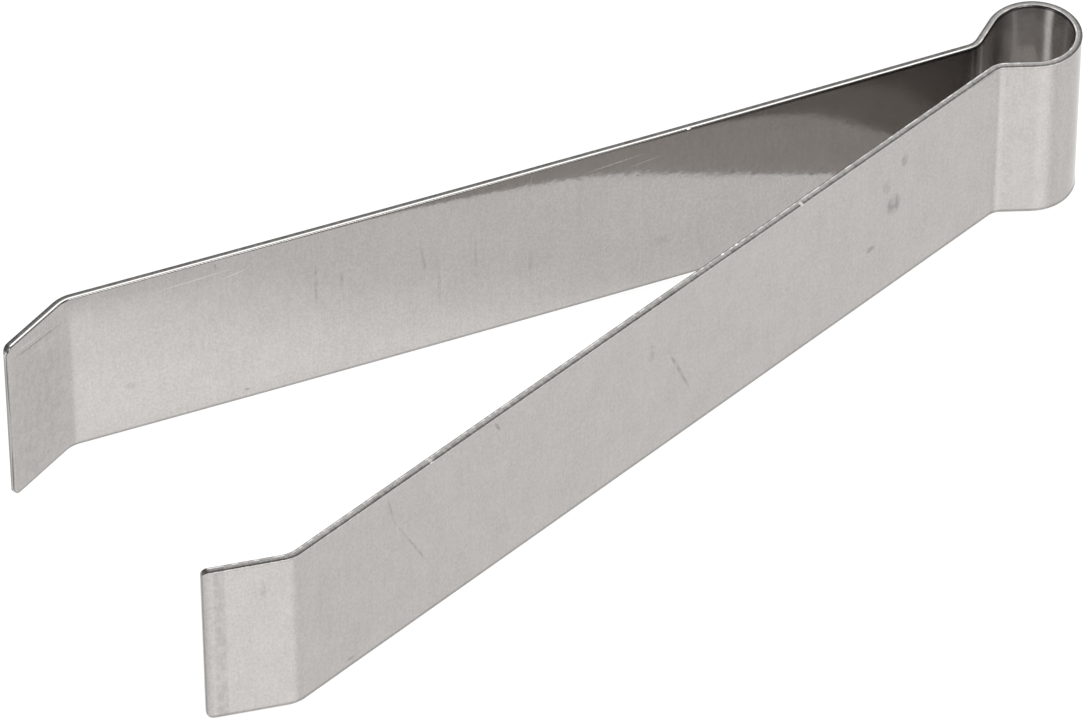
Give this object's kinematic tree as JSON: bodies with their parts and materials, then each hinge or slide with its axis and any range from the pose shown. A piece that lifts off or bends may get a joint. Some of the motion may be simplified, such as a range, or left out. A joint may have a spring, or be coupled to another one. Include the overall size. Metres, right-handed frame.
{
  "type": "stamp tongs",
  "caption": "Spring tongs bent from a single steel strip: a keyhole-shaped loop, straight arms in a V and flat, wide, inturned jaws for picking up stamps and other small flat things.",
  "frame": {"origin": "centre of the tongs' box in plan, on the surface that the lower edge of the strip stands on", "axes": "+X from the jaws towards the spring loop, +Y towards the right arm, +Z across the strip's width"},
  "size_m": [0.1146, 0.0424, 0.02],
  "materials": {
    "strip": "satin, fine grain across the strip"
  },
  "bodies": {
    "spring_loop": {"spring_loop": "strip"},
    "left_arm": {"left_arm": "strip", "left_jaw": "strip"},
    "right_arm": {"right_arm": "strip", "right_jaw": "strip"}
  },
  "joints": [
    {"name": "left_arm_flex", "type": "hinge", "parent": "spring_loop", "child": "left_arm", "pos_m": [0.04573, -0.00195, 0.01], "axis": [0, 0, -1], "range_deg": [0, 9.7], "stiffness_Nm_per_rad": 5.2},
    {"name": "right_arm_flex", "type": "hinge", "parent": "spring_loop", "child": "right_arm", "pos_m": [0.04573, 0.00195, 0.01], "axis": [0, 0, 1], "range_deg": [0, 9.7], "stiffness_Nm_per_rad": 5.2}
  ],
  "couplings": [
    {"joint": "right_arm_flex", "follows": "left_arm_flex", "ratio": 1}
  ]
}
